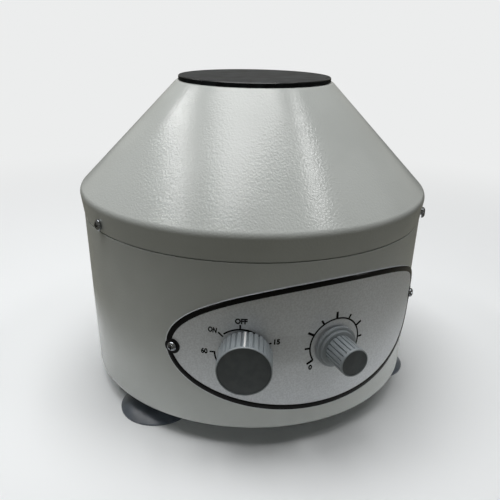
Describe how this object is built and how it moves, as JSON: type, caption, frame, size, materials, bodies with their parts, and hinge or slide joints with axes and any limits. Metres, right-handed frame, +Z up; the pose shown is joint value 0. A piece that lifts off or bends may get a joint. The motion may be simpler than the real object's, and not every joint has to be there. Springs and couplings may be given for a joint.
{
  "type": "bench centrifuge",
  "caption": "Round bench centrifuge: tapering drum under a conical cover with a hinged lid, an oval control panel with a minute timer and a speed knob, and suction-cup feet.",
  "frame": {"origin": "on the spin axis at the level of the bench, which is the middle of the box round the whole machine, within a millimetre", "axes": "+Z up along the spin axis; the front, with the control panel, faces -Y, and the mains entry faces +Y"},
  "size_m": [0.2642, 0.3045, 0.2362],
  "materials": {
    "housing_paint": "light warm-grey powder coat with a fine orange-peel texture, satin",
    "plated_sheet": "zinc-plated sheet, dull",
    "screw_chrome": "bright nickel plate",
    "plated_steel": "zinc-plated steel, turned",
    "washer_black": "black nylon",
    "panel_metal": "satin aluminium plate, printed border and dials",
    "knob_plastic": "grey moulded plastic, satin",
    "knob_disc": "dark grey moulded disc, smooth",
    "pointer_white": "white insert",
    "lid_black": "black moulded plastic, glossy",
    "foot_rubber": "dark grey soft rubber, slightly glossy",
    "black_rubber": "black moulded rubber, matt",
    "bowl_steel": "pressed stainless steel, brushed",
    "cast_aluminium": "cast and machined aluminium",
    "motor_black": "black enamel, semi-gloss",
    "lamination_steel": "stacked electrical steel",
    "bearing_steel": "ground bearing steel",
    "copper": "enamelled and bare copper",
    "brass": "bare brass",
    "carbon": "pressed carbon",
    "black_plastic": "black moulded plastic, satin",
    "board_laminate": "green circuit-board laminate",
    "component_plastic": "moulded component cases",
    "fuse_glass": "clear glass tube"
  },
  "bodies": {
    "housing": {"ball_bearings": "bearing_steel", "base_drum": "housing_paint", "board_bracket": "plated_sheet", "board_components": "component_plastic", "bottom_plate": "plated_sheet", "bottom_plate_screws": "screw_chrome", "brush_holders": "brass", "carbon_brushes": "carbon", "chamber_bowl": "bowl_steel", "clip_nuts": "plated_steel", "cone_cover": "housing_paint", "control_board": "board_laminate", "control_nuts": "plated_steel", "control_panel": "panel_metal", "cover_screws": "screw_chrome", "entry_nuts": "black_plastic", "field_coils": "copper", "foot_fixings": "plated_steel", "fuse_holder": "black_plastic", "gland_body": "black_plastic", "gland_dome_nut": "black_plastic", "gland_seal": "black_rubber", "heat_sink": "cast_aluminium", "hinge_bracket": "plated_sheet", "hinge_pin": "plated_steel", "hinge_rivets": "screw_chrome", "lower_bell": "cast_aluminium", "motor_can": "motor_black", "motor_fixings": "plated_steel", "motor_plate": "plated_sheet", "panel_screws": "screw_chrome", "panel_washers": "washer_black", "rubber_isolators": "black_rubber", "shaft_seal": "black_rubber", "speed_control": "black_plastic", "stator_core": "lamination_steel", "suction_feet": "foot_rubber", "timer_case": "black_plastic", "upper_bell": "cast_aluminium"},
    "rotor": {"rotor_shaft": "plated_steel", "commutator": "copper", "armature_core": "lamination_steel", "armature_windings": "copper", "cooling_fan": "black_plastic", "rotor_head": "cast_aluminium", "tube_sleeves": "bowl_steel", "sleeve_cushions": "black_rubber", "rotor_nut": "plated_steel"},
    "lid": {"lid": "lid_black", "lid_seal": "black_rubber"},
    "timer_dial": {"timer_knob": "knob_plastic", "timer_knob_disc": "knob_disc", "timer_pointer": "pointer_white", "timer_shaft": "plated_steel"},
    "speed_dial": {"speed_knob": "knob_plastic", "speed_knob_disc": "knob_disc", "speed_shaft": "plated_steel"},
    "fuse_carrier": {"fuse_cap": "black_plastic", "glass_fuse": "fuse_glass"}
  },
  "joints": [
    {"name": "rotor_spin", "type": "hinge", "parent": "housing", "child": "rotor", "pos_m": [0, 0, 0.1], "axis": [0, 0, 1], "continuous": true},
    {"name": "lid_hinge", "type": "hinge", "parent": "housing", "child": "lid", "pos_m": [0, 0.0665, 0.22984], "axis": [-1, 0, 0], "range_deg": [0, 105]},
    {"name": "timer_turn", "type": "hinge", "parent": "housing", "child": "timer_dial", "pos_m": [-0.05518, -0.11568, 0.0749], "axis": [0.4303, 0.9022, 0.029], "range_deg": [-45, 270]},
    {"name": "speed_turn", "type": "hinge", "parent": "housing", "child": "speed_dial", "pos_m": [0.00313, -0.12815, 0.0757], "axis": [-0.0244, 0.9993, 0.029], "range_deg": [0, 240]},
    {"name": "fuse_cap_turn", "type": "hinge", "parent": "housing", "child": "fuse_carrier", "pos_m": [0.04357, 0.1197, 0.048], "axis": [-0.3419, -0.9393, 0.029], "range_deg": [-60, 0]}
  ]
}
